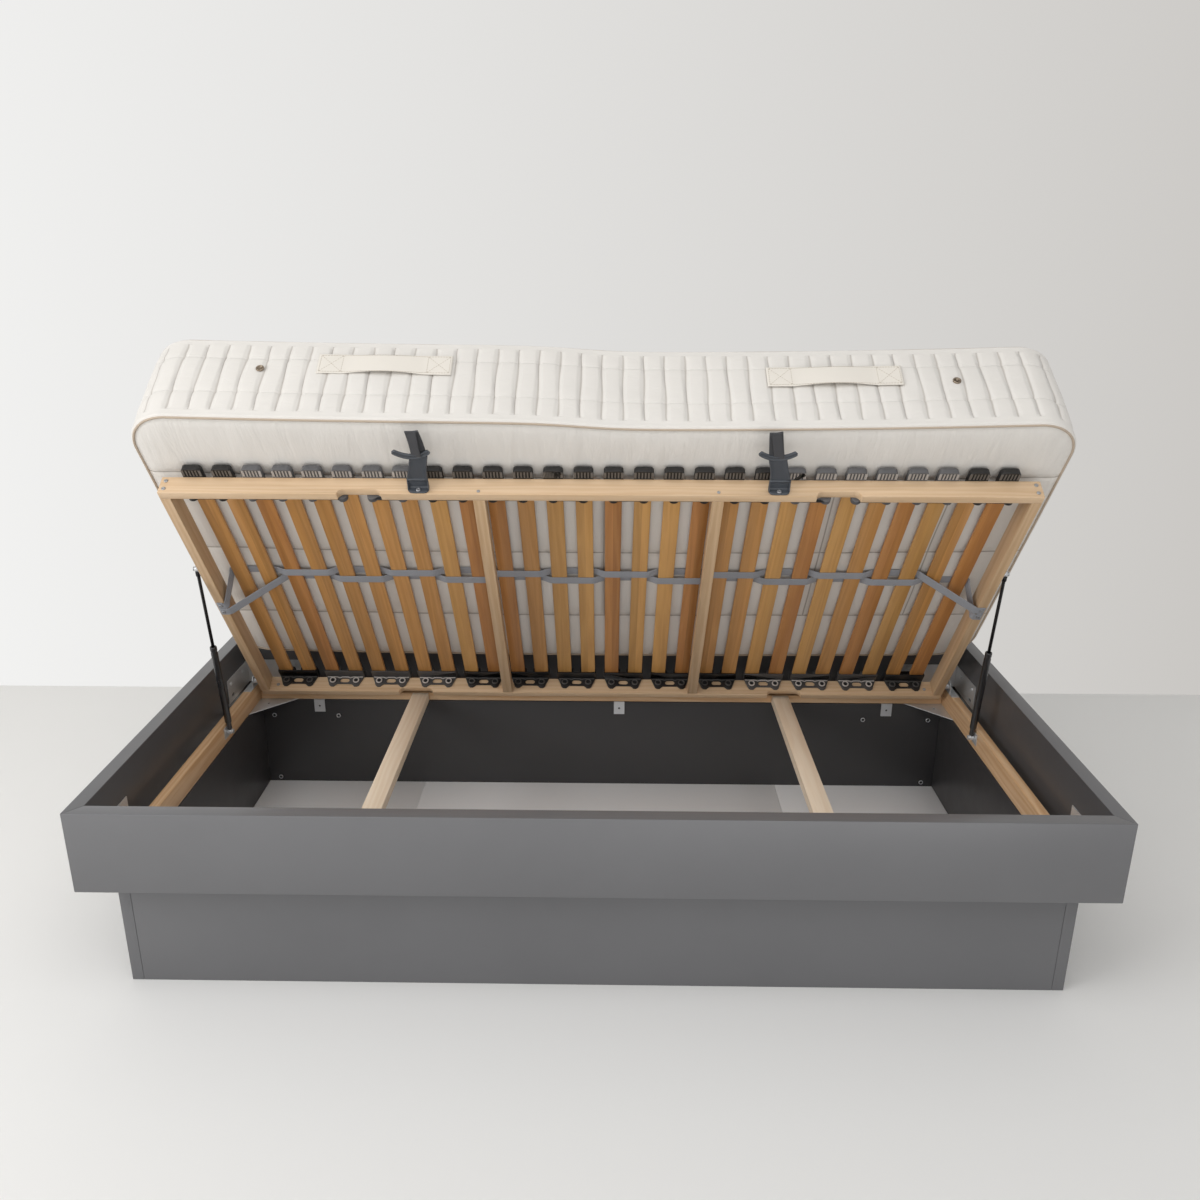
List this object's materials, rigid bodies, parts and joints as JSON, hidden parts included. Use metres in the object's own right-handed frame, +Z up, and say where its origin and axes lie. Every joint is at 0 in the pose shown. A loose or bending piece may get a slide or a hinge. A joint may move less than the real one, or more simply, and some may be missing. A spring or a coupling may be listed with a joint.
{
  "type": "storage bed",
  "caption": "Single storage bed: dark recessed plinth and surround, side-opening hinged slatted base on gas struts, and a cream mattress with piping.",
  "frame": {"origin": "on the floor under the middle of the surround", "axes": "+X along the bed, to the right seen from the opening side; +Y towards the hinge side; +Z up"},
  "size_m": [2.1, 1.087, 1.2896],
  "materials": {
    "lacquer_dark": "satin anthracite lacquered board",
    "lacquer_plinth": "satin dark grey lacquered board",
    "panel_white": "white faced hardboard",
    "beech_light": "clear lacquered light timber",
    "spruce_light": "planed light timber",
    "slat_golden": "lacquered bent lamella, golden",
    "slat_honey": "lacquered bent lamella, honey",
    "slat_russet": "lacquered bent lamella, reddish",
    "zinc": "zinc plated steel",
    "rubber_black": "black rubber",
    "rubber_grey": "grey rubber",
    "belt_grey": "grey woven belt",
    "plastic_dark": "dark grey moulded plastic",
    "webbing_dark": "dark woven webbing",
    "strut_black": "black painted steel tube",
    "strut_rod": "black nitrided rod with steel ball fitting",
    "ticking_cream": "cream knitted ticking",
    "piping_cream": "cream piping tape",
    "handle_cream": "cream handle webbing",
    "vent_metal": "metal air vent"
  },
  "bodies": {
    "root": {"surround_front": "lacquer_dark", "surround_back": "lacquer_dark", "surround_left": "lacquer_dark", "surround_right": "lacquer_dark", "corner_angles": "zinc", "carrier_brackets": "zinc", "plinth_front": "lacquer_plinth", "plinth_back": "lacquer_plinth", "plinth_left": "lacquer_plinth", "plinth_right": "lacquer_plinth", "plinth_bolts": "zinc", "floor_panel_left": "panel_white", "floor_panel_middle": "panel_white", "floor_panel_right": "panel_white", "end_batten_left": "spruce_light", "end_batten_right": "spruce_light", "front_batten": "spruce_light", "hinge_side_batten": "spruce_light", "cross_slat_left": "spruce_light", "cross_slat_right": "spruce_light", "corner_plates": "zinc", "batten_angles": "zinc", "hinge_brackets": "zinc", "strut_lower_mounts": "zinc"},
    "lifting_base": {"base_rail_front": "beech_light", "base_rail_hinge": "beech_light", "base_rail_left": "beech_light", "base_rail_right": "beech_light", "base_rungs": "beech_light", "slats_golden": "slat_golden", "slats_honey": "slat_honey", "slats_russet": "slat_russet", "twin_caps_dark": "rubber_black", "twin_caps_grey": "rubber_grey", "nose_caps_dark": "rubber_black", "nose_caps_grey": "rubber_grey", "belt_a": "belt_grey", "belt_b": "belt_grey", "base_screws": "zinc", "hinge_leaves": "zinc", "strut_upper_mounts": "zinc", "retainer_bases": "plastic_dark"},
    "mattress": {"mattress": "ticking_cream", "mattress_piping": "piping_cream", "mattress_handles": "handle_cream", "mattress_vents": "vent_metal"},
    "retainer_left": {"retainer_tongue_left": "plastic_dark", "pull_loop_left": "webbing_dark"},
    "retainer_right": {"retainer_tongue_right": "plastic_dark", "pull_loop_right": "webbing_dark"},
    "cylinder_left": {"strut_cylinder_left": "strut_black"},
    "rod_left": {"strut_rod_left": "strut_rod"},
    "cylinder_right": {"strut_cylinder_right": "strut_black"},
    "rod_right": {"strut_rod_right": "strut_rod"}
  },
  "joints": [
    {"name": "base_hinge", "type": "hinge", "parent": "root", "child": "lifting_base", "pos_m": [0, 0.3795, 0.3387], "axis": [1, 0, 0], "range_deg": [0, 54.66]},
    {"name": "mattress_slide", "type": "slide", "parent": "lifting_base", "child": "mattress", "axis": [0, 0.5784, -0.8157], "range_m": [0, 0.138]},
    {"name": "retainer_fold_left", "type": "hinge", "parent": "lifting_base", "child": "retainer_left", "pos_m": [-0.386, -0.10613, 1.02287], "axis": [1, 0, 0], "range_deg": [-90, 0]},
    {"name": "retainer_fold_right", "type": "hinge", "parent": "lifting_base", "child": "retainer_right", "pos_m": [0.386, -0.10613, 1.02287], "axis": [1, 0, 0], "range_deg": [-90, 0]},
    {"name": "strut_swing_left", "type": "hinge", "parent": "root", "child": "cylinder_left", "pos_m": [-0.959, 0.149, 0.297], "axis": [1, 0, 0], "range_deg": [0, 73.56]},
    {"name": "strut_stroke_left", "type": "slide", "parent": "cylinder_left", "child": "rod_left", "axis": [0, -0.1635, 0.9865], "range_m": [-0.1766, 0]},
    {"name": "strut_swing_right", "type": "hinge", "parent": "root", "child": "cylinder_right", "pos_m": [0.959, 0.149, 0.297], "axis": [1, 0, 0], "range_deg": [0, 73.56]},
    {"name": "strut_stroke_right", "type": "slide", "parent": "cylinder_right", "child": "rod_right", "axis": [0, -0.1635, 0.9865], "range_m": [-0.1766, 0]}
  ],
  "couplings": [
    {"joint": "mattress_slide", "follows": "base_hinge", "m_per_rad": 0.14465},
    {"joint": "retainer_fold_left", "follows": "base_hinge", "ratio": -1.6465},
    {"joint": "retainer_fold_right", "follows": "base_hinge", "ratio": -1.6465},
    {"joint": "strut_swing_left", "follows": "base_hinge", "ratio": 1.3456},
    {"joint": "strut_stroke_left", "follows": "base_hinge", "m_per_rad": -0.18507},
    {"joint": "strut_swing_right", "follows": "base_hinge", "ratio": 1.3456},
    {"joint": "strut_stroke_right", "follows": "base_hinge", "m_per_rad": -0.18507}
  ]
}
